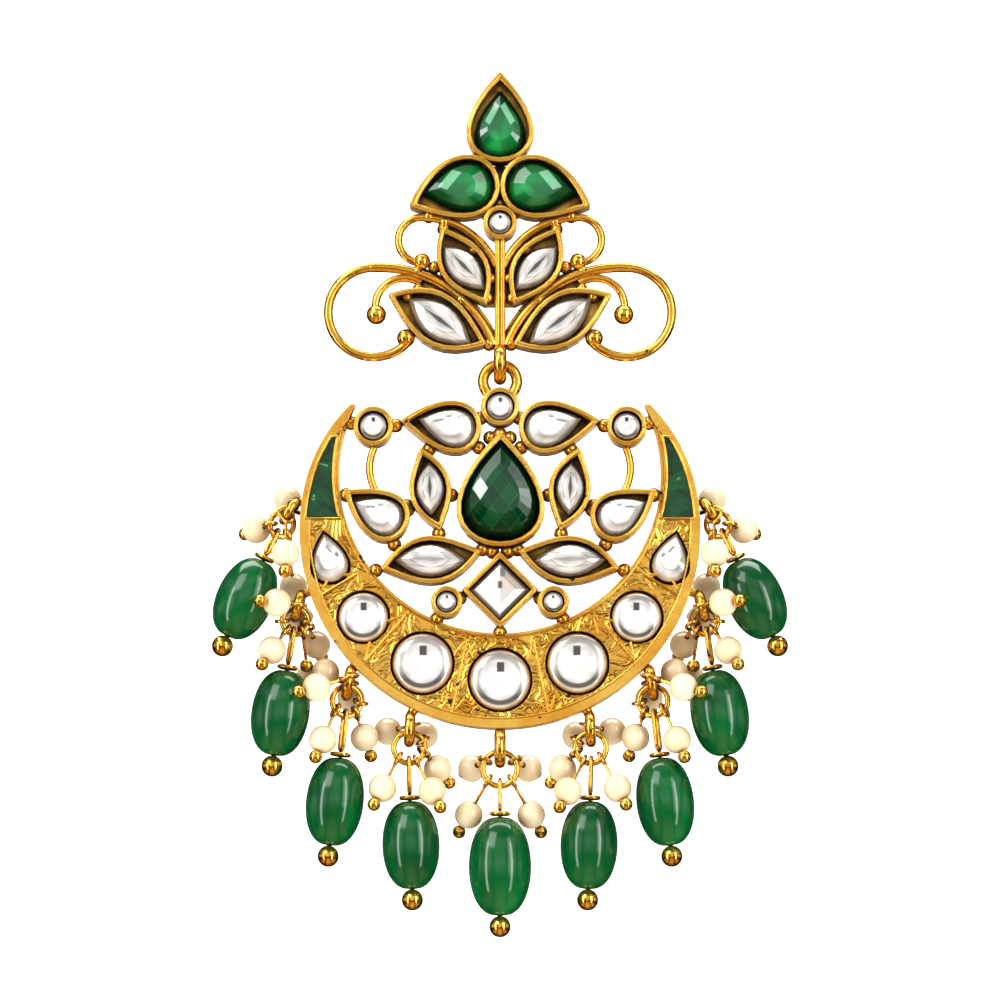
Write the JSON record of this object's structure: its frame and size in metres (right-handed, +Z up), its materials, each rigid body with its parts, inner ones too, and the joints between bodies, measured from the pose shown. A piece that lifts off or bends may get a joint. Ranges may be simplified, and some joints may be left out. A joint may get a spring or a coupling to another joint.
{
  "type": "dangle earring",
  "caption": "Chandbali-style dangle earring: a leaf and scroll top on an ear post, and a hinged crescent pendant set with stones, edged with bead drops and pearl clusters.",
  "frame": {"origin": "centre of the top's back face, where the ear post meets it and the ear carries it", "axes": "+X to the wearer-facing picture's right, -Y out of the decorated front, +Y along the ear post, +Z up"},
  "size_m": [0.0574, 0.0165, 0.0872],
  "materials": {
    "gold_casting": "antique gold plate, polished on the high parts and darkened in the recesses",
    "gold_wire": "polished gold plate",
    "green_crystal": "faceted and polished, foil backed",
    "clear_crystal": "faceted and polished, silver foil backed",
    "green_enamel": "glossy transparent enamel over a wrinkled ground",
    "green_bead": "tumbled and polished",
    "pearl": "pearl lustre"
  },
  "bodies": {
    "top": {"top_frame": "gold_casting", "ear_post": "gold_wire", "stone_top_green": "green_crystal", "stone_side_green_left": "green_crystal", "stone_side_green_right": "green_crystal", "stone_small_round": "clear_crystal", "stone_upper_leaf_left": "clear_crystal", "stone_upper_leaf_right": "clear_crystal", "stone_lower_leaf_left": "clear_crystal", "stone_lower_leaf_right": "clear_crystal"},
    "pendant": {"pendant_frame": "gold_casting", "enamel_left": "green_enamel", "enamel_right": "green_enamel", "stone_crest_round": "clear_crystal", "stone_crest_pear_left": "clear_crystal", "stone_crest_pear_right": "clear_crystal", "stone_horn_round_left": "clear_crystal", "stone_horn_round_right": "clear_crystal", "stone_petal_left": "clear_crystal", "stone_petal_right": "clear_crystal", "stone_side_pear_left": "clear_crystal", "stone_side_pear_right": "clear_crystal", "stone_low_leaf_left": "clear_crystal", "stone_low_leaf_right": "clear_crystal", "stone_big_green": "green_crystal", "stone_square": "clear_crystal", "stone_tiny_round_left": "clear_crystal", "stone_tiny_round_right": "clear_crystal", "stone_arm_pear_left": "clear_crystal", "stone_arm_pear_right": "clear_crystal", "stone_arm_round_left": "clear_crystal", "stone_arm_round_right": "clear_crystal", "stone_low_round_left": "clear_crystal", "stone_low_round_right": "clear_crystal", "stone_bottom_round": "clear_crystal", "bead_end_left": "green_bead", "bead_end_right": "green_bead", "bead_outer_left": "green_bead", "bead_outer_right": "green_bead", "bead_side_left": "green_bead", "bead_side_right": "green_bead", "bead_inner_left": "green_bead", "bead_inner_right": "green_bead", "bead_middle": "green_bead", "bead_pins": "gold_wire", "jump_rings": "gold_wire", "pearls_left": "pearl", "pearls_right": "pearl", "pearl_pins_left": "gold_wire", "pearl_pins_right": "gold_wire"}
  },
  "joints": [
    {"name": "pendant_swing", "type": "hinge", "parent": "top", "child": "pendant", "pos_m": [0, -0.0011, -0.01818], "axis": [1, 0, 0], "range_deg": [-75, 75]}
  ]
}
